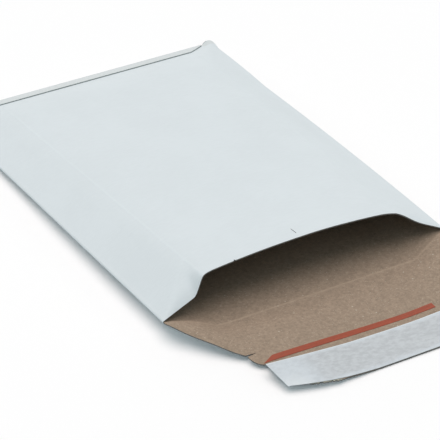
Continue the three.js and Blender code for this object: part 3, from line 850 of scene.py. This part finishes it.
def liner_paint(finish, edge, near, far, start, end):
    """Pale liner paper, darker where the adhesive shows through it, lighter towards its loose lower-left
    corner, with a painted highlight along its upper edge.
    """
    paint = Paint("liner paper")
    axes = paint.add("ShaderNodeSeparateXYZ", None, Vector=paint.place)
    uneven = paint.math("SUBTRACT", paint.noise(220.0, 3.0, 0.6), 0.5)
    wander = paint.math("MULTIPLY", uneven, STUCK_WANDER)
    x = paint.math("ADD", axes.outputs["X"], wander)
    y = paint.math("ADD", axes.outputs["Y"], wander)
    far_side = paint.band(y, far, far + STUCK_FADE)
    near_side = paint.band(y, near, near - STUCK_FADE)
    left_side = paint.band(x, start, start + STUCK_END_FADES[0])
    right_side = paint.band(x, end, end - STUCK_END_FADES[1])
    across = paint.math("MULTIPLY", far_side, near_side)
    along = paint.math("MULTIPLY", left_side, right_side)
    mottle = paint.noise(1.0, 4.0, 0.62, paint.stretched((330, 520, 400), 0.6))
    stuck = paint.mix(paint.band(mottle, 0.34, 0.66), tone(finish.stuck, 0.91), tone(finish.stuck, 1.08))
    free = paint.mix(paint.band(mottle, 0.3, 0.7), tone(finish.liner, 0.94), tone(finish.liner, 1.05))
    base = paint.mix(paint.math("MULTIPLY", across, along), free, stuck)
    # lighter towards the loose lower-left corner, in the highlight colour
    left_end = paint.band(x, start + LOOSE_END[0], start + LOOSE_END[1])
    corner = paint.math("MULTIPLY", left_end, paint.band(y, far + LOOSE_WIDTH, far))
    base = paint.mix(paint.math("MULTIPLY", corner, 0.8), base, (*finish.liner_edge, 1.0))
    # painted highlight along the upper edge
    lit = paint.band(axes.outputs["Y"], edge - LIT_EDGE[0], edge - LIT_EDGE[1], 0.0, 0.6)
    base = paint.mix(lit, base, (*finish.liner_edge, 1.0))
    paint.bump(mottle, 0.35, 0.2 * MM)
    return paint.set(Base_Color=base, Roughness=0.5, Specular_IOR_Level=0.4)


def adhesive_paint(finish):
    """A tacky, slightly shiny film."""
    paint = Paint("adhesive film")
    blotch = paint.noise(500.0, 3.0, 0.6)
    base = paint.mix(paint.band(blotch, 0.3, 0.7), tone(finish.adhesive, 0.92), tone(finish.adhesive, 1.06))
    paint.bump(blotch, 0.2, 0.1 * MM)
    return paint.set(Base_Color=base, Roughness=0.3)


def place(name, mesh, node, slot):
    """Puts a finished mesh in the scene in place of its CAD node."""
    piece = bpy.data.objects.new(name, mesh)
    bpy.context.scene.collection.objects.link(piece)
    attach(piece, "root")
    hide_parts(node)
    return piece


def plain_mesh(obj, name, sharp_angle):
    """The object's mesh with its modifiers applied, smooth except at its sharp edges."""
    graph = bpy.context.evaluated_depsgraph_get()
    mesh = bpy.data.meshes.new_from_object(obj.evaluated_get(graph), depsgraph=graph)
    mesh.name = name
    source = obj.data
    bpy.data.objects.remove(obj)
    bpy.data.meshes.remove(source)
    mesh.shade_smooth()
    mesh.set_sharp_from_angle(angle=sharp_angle)
    return mesh


class ENVELOPE_OT_folded_board(bpy.types.Operator):
    """Fold the board into the pocket, the end flap and the closing flap"""

    bl_idname = "envelope.folded_board"
    bl_label = "Folded Board"

    SIDES = ("outside", "inside", "edge")
    SHARP_ANGLE = math.radians(40)

    def paints(self, finish):
        """Outside, inside and edge of the board, and then of its end flap."""
        raw = raw_paint(finish)
        # the cut edge colour carries painted shade
        board = [coated_paint("coated board", finish.coated), raw, cut_paint("cut edge", finish.cut)]
        # copy of the coated side with painted shade, for the end flap and the ears
        coated_flap = coated_paint("coated end flap", finish.end_flap)
        # lighter copy of the cut edge: less painted shade on the end flap's edge
        return board + [coated_flap, raw, cut_paint("pressed edge", finish.pressed_edge)]

    def execute(self, context):
        scene = context.scene
        pocket = Pocket(scene.envelope_pocket)
        sheet = Sheet(pocket, Flap(scene.envelope_flap, pocket))
        rings = sheet.build_pocket()
        sheet.build_end_flap(rings[-1])
        sheet.build_closing_flap(rings[0])
        mesh = bpy.data.meshes.new("folded board sheet")
        mesh.from_pydata(sheet.points, [], sheet.faces)
        mesh.transform(Matrix.Translation((0, mouth_line(), 0)))
        mesh.attributes.new("crease", "FLOAT", "POINT").data.foreach_set("value", sheet.creases)
        slots = np.zeros(len(sheet.faces), dtype=np.int32)
        # the end flap and the ears take the copies with painted shade
        slots[: sheet.end_flap_faces] = len(self.SIDES)
        slots[sheet.ear_faces()] = len(self.SIDES)
        mesh.polygons.foreach_set("material_index", slots)
        for paint in self.paints(scene.envelope_finish):
            mesh.materials.append(paint)
        blank = bpy.data.objects.new("folded board sheet", mesh)
        scene.collection.objects.link(blank)
        wall = blank.modifiers.new("board", "SOLIDIFY")
        wall.thickness = scene.envelope_pocket.board
        wall.offset = -1.0
        wall.use_even_offset = True
        wall.use_quality_normals = True
        wall.material_offset = self.SIDES.index("inside")
        wall.material_offset_rim = self.SIDES.index("edge")
        finished = plain_mesh(blank, "board", self.SHARP_ANGLE)
        if not finished.polygons:
            raise RuntimeError("the folded board has no faces")
        place("board", finished, "folded_board", "board")
        return {"FINISHED"}


STRIP_SIZES = (
    *("Start", "End", "Near", "Far", "Skew", "Slant", "Peel", "Peel Run"),
    *("Corner Cut", "Cut Start", "Cut Run", "Flap Half", "Overhang"),
    *("Gap", "Thickness", "Ripple", "Seed"),
)
STRIP_SOCKETS = {
    "Flap": "NodeSocketObject",
    **{size: "NodeSocketFloat" for size in STRIP_SIZES},
    "Columns": "NodeSocketInt",
    "Rows": "NodeSocketInt",
    "Material": "NodeSocketMaterial",
}
STRIP_SHARP_ANGLE = math.radians(50)
PROBE_INSET = 1.8 * MM
PROBE_HEIGHT = 50 * MM
PROBE_LENGTH = 100 * MM
PEEL_CURVE = 1.5
SHORT_PEEL_RUN = 1 * MM
RIPPLE_SCALE = 180.0
WELD_DISTANCE = 1e-6
SEAT_GAP = 0.03 * MM
TAPE_THICKNESS = 0.12 * MM
ADHESIVE_THICKNESS = 0.15 * MM
LINER_THICKNESS = 0.1 * MM


def strip_tree():
    """Geometry nodes for a thin strip that follows the closing flap."""
    tree = bpy.data.node_groups.new("strip on the flap", "GeometryNodeTree")
    for name, kind in STRIP_SOCKETS.items():
        tree.interface.new_socket(name, in_out="INPUT", socket_type=kind)
    tree.interface.new_socket("Geometry", in_out="OUTPUT", socket_type="NodeSocketGeometry")
    graph = Graph(tree)
    given = graph.add("NodeGroupInput").outputs
    grid = graph.add("GeometryNodeMeshGrid", None, Vertices_X=given["Columns"], Vertices_Y=given["Rows"])
    at = graph.add("ShaderNodeSeparateXYZ", None, i0=graph.add("GeometryNodeInputPosition").outputs[0])
    u = graph.math("ADD", at.outputs[0], 0.5)
    v = graph.math("SUBTRACT", 0.5, at.outputs[1])
    run = graph.math("MULTIPLY", graph.math("SUBTRACT", given["End"], given["Start"]), u)
    slant = graph.math("MULTIPLY", given["Slant"], graph.math("SUBTRACT", 1.0, v))
    slanted = graph.math("MULTIPLY", slant, graph.math("SUBTRACT", 1.0, u))
    x = graph.math("ADD", graph.math("ADD", given["Start"], run), slanted)
    loose = graph.math("SUBTRACT", 1.0, graph.math("DIVIDE", run, given["Peel Run"]))
    loose = graph.math("POWER", graph.math("MAXIMUM", loose, 0.0), PEEL_CURVE)
    into_corner = graph.math("DIVIDE", graph.math("SUBTRACT", given["Cut Start"], x), given["Cut Run"])
    inside = graph.math("MINIMUM", graph.math("MAXIMUM", into_corner, 0.0), 1.0)
    cut = graph.math("MULTIPLY", graph.math("MULTIPLY", inside, inside), given["Corner Cut"])
    skew = graph.math("MULTIPLY", given["Skew"], u)
    width = graph.math("SUBTRACT", given["Far"], given["Near"])
    top = graph.math("SUBTRACT", given["Near"], skew)
    y = graph.math("ADD", top, graph.math("MULTIPLY", graph.math("ADD", width, cut), v))
    held = graph.math("MULTIPLY", v, graph.math("SUBTRACT", 1.0, given["Overhang"]))
    probe_y = graph.math("ADD", top, graph.math("MULTIPLY", graph.math("ADD", width, cut), held))
    low_x = graph.math("MULTIPLY", given["Flap Half"], -1.0)
    probe_x = graph.math("MAXIMUM", graph.math("MINIMUM", x, given["Flap Half"]), low_x)
    high = graph.add("ShaderNodeCombineXYZ", None, X=probe_x, Y=probe_y, Z=PROBE_HEIGHT)
    target = graph.add("GeometryNodeObjectInfo", {"transform_space": "RELATIVE"}, Object=given["Flap"])
    cast = graph.add(
        "GeometryNodeRaycast",
        None,
        Target_Geometry=target.outputs["Geometry"],
        Source_Position=high.outputs[0],
        Ray_Direction=(0, 0, -1),
        Ray_Length=PROBE_LENGTH,
    )
    landed = graph.add("ShaderNodeSeparateXYZ", None, i0=cast.outputs["Hit Position"]).outputs[2]
    wave = graph.add(
        "ShaderNodeTexNoise",
        {"noise_dimensions": "4D"},
        Vector=high.outputs[0],
        W=given["Seed"],
        Scale=RIPPLE_SCALE,
        Detail=2.0,
    )
    peel = graph.math("MULTIPLY", loose, given["Peel"])
    peel = graph.math("MULTIPLY", peel, graph.math("SUBTRACT", 1.0, v))
    seat = graph.math("ADD", given["Gap"], peel)
    lift = graph.math("ADD", seat, graph.math("MULTIPLY", wave.outputs[0], given["Ripple"]))
    spot = graph.add("ShaderNodeCombineXYZ", None, X=x, Y=y, Z=graph.math("ADD", landed, lift))
    under = graph.add("GeometryNodeSetPosition", None, Geometry=grid.outputs[0], Position=spot.outputs[0])
    grown = graph.add(
        "GeometryNodeExtrudeMesh",
        None,
        Mesh=under.outputs[0],
        Offset=(0, 0, 1),
        Offset_Scale=given["Thickness"],
        Individual=False,
    )
    bottom = graph.add("GeometryNodeFlipFaces", None, Mesh=under.outputs[0])
    both = graph.add("GeometryNodeJoinGeometry")
    tree.links.new(grown.outputs[0], both.inputs[0])
    tree.links.new(bottom.outputs[0], both.inputs[0])
    closed = graph.add("GeometryNodeMergeByDistance", None, Geometry=both.outputs[0], Distance=WELD_DISTANCE)
    real = graph.add("GeometryNodeRealizeInstances", None, Geometry=closed.outputs[0])
    dressed = graph.add("GeometryNodeSetMaterial", None, Geometry=real.outputs[0], Material=given["Material"])
    graph.add("NodeGroupOutput", None, Geometry=dressed.outputs[0])
    return tree


def strip(name, node, slot, values):
    """Lays a strip on the closing flap and puts it in place of its CAD node."""
    tree = bpy.data.node_groups.get("strip on the flap") or strip_tree()
    mesh = bpy.data.meshes.new(name + " start")
    carrier = bpy.data.objects.new(name + " start", mesh)
    bpy.context.scene.collection.objects.link(carrier)
    nodes = carrier.modifiers.new("strip", "NODES")
    nodes.node_group = tree
    flap = Flap(bpy.context.scene.envelope_flap, Pocket(bpy.context.scene.envelope_pocket))
    given = {
        "Flap": bpy.data.objects["board"],
        "Cut Start": flap.CUT_START,
        "Cut Run": flap.end_half + flap.CUT_START,
        "Flap Half": flap.end_half - PROBE_INSET,
        "Peel Run": SHORT_PEEL_RUN,
        **values,
    }
    for item in tree.interface.items_tree:
        if item.in_out == "INPUT" and item.name in given:
            nodes[item.identifier] = given[item.name]
    finished = plain_mesh(carrier, name, STRIP_SHARP_ANGLE)
    if not finished.polygons:
        raise RuntimeError(name + " has no faces")
    place(name, finished, node, slot)


class ENVELOPE_OT_tear_strip(bpy.types.Operator):
    """Lay the red tear strip on the inside of the closing flap"""

    bl_idname = "envelope.tear_strip"
    bl_label = "Tear Strip"

    TORN_END = 1.4 * MM
    TORN_SLANT = 6.2 * MM
    RIPPLE = 0.04 * MM
    RIPPLE_SEED = 3.0
    COLUMNS = 150
    ROWS = 7

    def execute(self, context):
        flap = context.scene.envelope_flap
        near = mouth_line() - flap.tape_reach
        values = {
            "Start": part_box("tear_strip")[0][0] - self.TORN_END,
            "End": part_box("tear_strip")[1][0],
            "Near": near,
            "Far": near - flap.tape_width,
            "Skew": flap.tape_skew,
            "Slant": self.TORN_SLANT,
            "Gap": SEAT_GAP,
            "Thickness": TAPE_THICKNESS,
            "Ripple": self.RIPPLE,
            "Seed": self.RIPPLE_SEED,
            "Columns": self.COLUMNS,
            "Rows": self.ROWS,
            "Material": tape_paint(context.scene.envelope_finish),
        }
        strip("tear_tape", "tear_strip", "tear_tape", values)
        return {"FINISHED"}


class ENVELOPE_OT_adhesive_band(bpy.types.Operator):
    """Lay the adhesive band that the liner covers"""

    bl_idname = "envelope.adhesive_band"
    bl_label = "Adhesive Band"

    CUT_SHARE = 0.85
    COLUMNS = 90
    ROWS = 18

    def execute(self, context):
        low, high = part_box("adhesive_band")
        values = {
            "Start": low[0],
            "End": high[0],
            "Near": high[1],
            "Far": low[1],
            "Corner Cut": self.CUT_SHARE * context.scene.envelope_flap.corner_cut,
            "Gap": SEAT_GAP,
            "Thickness": ADHESIVE_THICKNESS,
            "Columns": self.COLUMNS,
            "Rows": self.ROWS,
            "Material": adhesive_paint(context.scene.envelope_finish),
        }
        strip("adhesive", "adhesive_band", "adhesive", values)
        return {"FINISHED"}


class ENVELOPE_OT_release_liner(bpy.types.Operator):
    """Lay the release liner over the adhesive band"""

    bl_idname = "envelope.release_liner"
    bl_label = "Release Liner"

    STUCK_MARGINS = (1 * MM, 1 * MM, 10 * MM, 1 * MM)
    LEFT_OVERHANG = 0.2 * MM
    CORNER_OVERHANG = 1.25 * MM
    EDGE_OVERHANG = 0.05 * MM
    LOOSE_OVERHANG = 1.5 * MM
    OVERHANG_SHARE = 0.08
    PEEL_RUN = 45 * MM
    RIPPLE_SEED = 11.0
    COLUMNS = 150
    ROWS = 36

    def execute(self, context):
        flap = context.scene.envelope_flap
        low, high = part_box("release_liner")
        near = mouth_line() - flap.liner_reach
        far = mouth_line() - flap.reach - self.EDGE_OVERHANG
        top, bottom, left, right = self.STUCK_MARGINS
        paint = liner_paint(
            context.scene.envelope_finish, near, near - top, far + bottom, low[0] + left, high[0] - right
        )
        values = {
            "Start": low[0] - self.LEFT_OVERHANG,
            "End": high[0],
            "Near": near,
            "Far": far,
            "Slant": -self.LOOSE_OVERHANG,
            "Corner Cut": flap.corner_cut - self.CORNER_OVERHANG,
            "Overhang": self.OVERHANG_SHARE,
            "Peel": flap.liner_peel,
            "Peel Run": self.PEEL_RUN,
            "Gap": 2 * SEAT_GAP + ADHESIVE_THICKNESS,
            "Thickness": LINER_THICKNESS,
            "Ripple": flap.liner_ripple,
            "Seed": self.RIPPLE_SEED,
            "Columns": self.COLUMNS,
            "Rows": self.ROWS,
            "Material": paint,
        }
        strip("liner", "release_liner", "liner", values)
        return {"FINISHED"}


class ENVELOPE_OT_stage(bpy.types.Operator):
    """Set up the white floor, the soft light from above and the camera"""

    bl_idname = "envelope.stage"
    bl_label = "Stage"

    FLOOR_HALF = 6.0
    FLOOR_DROP = 0.1 * MM
    FLOOR_WHITE = 1.0
    FLOOR_BOUNCE = 0.95
    LIGHT_ANGLE = math.radians(78)
    LIGHT_LEAN = (0.02, 0.15)
    LIGHT_SHARE = 0.55
    SKY = (0.82, 1.0, 1.05)
    LENS = 186.41
    SENSOR = 36.0
    DISTANCE = 1.10383
    TARGET = Vector((-0.00665, 0.07044, 0.0))
    AZIMUTH = math.radians(-29.883)
    ELEVATION = math.radians(32.159)
    ROLL = math.radians(-0.425)
    CLIP_START = 0.05
    CLIP_END = 50.0

    def floor(self, scene):
        half = self.FLOOR_HALF
        corners = [(-half, -half), (half, -half), (half, half), (-half, half)]
        mesh = bpy.data.meshes.new("floor")
        mesh.from_pydata([(x, y, -self.FLOOR_DROP) for x, y in corners], [], [(0, 1, 2, 3)])
        floor = bpy.data.objects.new("floor", mesh)
        scene.collection.objects.link(floor)
        paint = bpy.data.materials.new("white floor")
        paint.use_nodes = True
        graph = Graph(paint.node_tree)
        graph.tree.nodes.remove(graph.tree.nodes["Principled BSDF"])
        seen = graph.seen()
        bounce = graph.add("ShaderNodeBsdfDiffuse", None, Color=(*[self.FLOOR_BOUNCE] * 3, 1.0))
        white = graph.add("ShaderNodeBsdfDiffuse", None, Color=(*[self.FLOOR_WHITE] * 3, 1.0))
        mix = graph.add("ShaderNodeMixShader", None, i0=seen, i1=bounce.outputs[0], i2=white.outputs[0])
        graph.feed(graph.tree.nodes["Material Output"], "Surface", mix.outputs[0])
        mesh.materials.append(paint)

    def light(self, scene):
        lamp = bpy.data.lights.new("soft light", "SUN")
        lamp.energy = math.pi * self.LIGHT_SHARE
        lamp.color = [(1 - (1 - self.LIGHT_SHARE) * c) / self.LIGHT_SHARE for c in self.SKY]
        lamp.angle = self.LIGHT_ANGLE
        sun = bpy.data.objects.new("soft light", lamp)
        scene.collection.objects.link(sun)
        towards = Vector((*self.LIGHT_LEAN, 1.0))
        sun.rotation_mode = "QUATERNION"
        sun.rotation_quaternion = towards.to_track_quat("Z", "Y")
        world = bpy.data.worlds.new("studio")
        world.use_nodes = True
        graph = Graph(world.node_tree)
        seen = graph.seen()
        strength = graph.math("MAXIMUM", seen, 1.0 - self.LIGHT_SHARE)
        backdrop = graph.tree.nodes["Background"]
        tint = graph.mix(seen, (*self.SKY, 1.0), (1, 1, 1, 1))
        graph.feed(backdrop, "Color", tint)
        graph.feed(backdrop, "Strength", strength)
        scene.world = world

    def camera(self, scene):
        data = bpy.data.cameras.new("camera")
        data.sensor_width = self.SENSOR
        data.lens = self.LENS
        data.clip_start = self.CLIP_START
        data.clip_end = self.CLIP_END
        camera = bpy.data.objects.new("camera", data)
        scene.collection.objects.link(camera)
        flat = math.cos(self.ELEVATION)
        back = Vector(
            (math.sin(self.AZIMUTH) * flat, -math.cos(self.AZIMUTH) * flat, math.sin(self.ELEVATION))
        )
        right = Vector((0, 0, 1)).cross(back).normalized()
        up = back.cross(right)
        turned_right = right * math.cos(self.ROLL) + up * math.sin(self.ROLL)
        turned_up = up * math.cos(self.ROLL) - right * math.sin(self.ROLL)
        spot = self.TARGET + Vector((0, mouth_line(), 0)) + back * self.DISTANCE
        axes = Matrix((turned_right, turned_up, back)).transposed().to_4x4()
        camera.matrix_world = Matrix.Translation(spot) @ axes
        scene.camera = camera

    def execute(self, context):
        scene = context.scene
        self.floor(scene)
        self.light(scene)
        self.camera(scene)
        scene.view_settings.view_transform = "Standard"
        return {"FINISHED"}


STEPS = (
    ENVELOPE_OT_folded_board,
    ENVELOPE_OT_tear_strip,
    ENVELOPE_OT_adhesive_band,
    ENVELOPE_OT_release_liner,
    ENVELOPE_OT_stage,
)


class ENVELOPE_PT_panel(bpy.types.Panel):
    """The steps that build the envelope"""

    bl_idname = "ENVELOPE_PT_panel"
    bl_label = "Board Envelope"
    bl_space_type = "VIEW_3D"
    bl_region_type = "UI"
    bl_category = "Envelope"

    def draw(self, context):
        for step in STEPS:
            self.layout.operator(step.bl_idname)
        for group in ("envelope_pocket", "envelope_flap", "envelope_finish"):
            values = getattr(context.scene, group)
            box = self.layout.box()
            for name in values.__annotations__:
                box.prop(values, name)


CLASSES = (PocketShape, FlapShape, EnvelopeFinish, *STEPS, ENVELOPE_PT_panel)


def register():
    for cls in CLASSES:
        bpy.utils.register_class(cls)
    bpy.types.Scene.envelope_pocket = PointerProperty(type=PocketShape)
    bpy.types.Scene.envelope_flap = PointerProperty(type=FlapShape)
    bpy.types.Scene.envelope_finish = PointerProperty(type=EnvelopeFinish)


def unregister():
    del bpy.types.Scene.envelope_finish
    del bpy.types.Scene.envelope_flap
    del bpy.types.Scene.envelope_pocket
    for cls in reversed(CLASSES):
        bpy.utils.unregister_class(cls)


def main():
    register()
    bpy.ops.envelope.folded_board()
    bpy.ops.envelope.tear_strip()
    bpy.ops.envelope.adhesive_band()
    bpy.ops.envelope.release_liner()
    bpy.ops.envelope.stage()


if __name__ == "__main__":
    main()
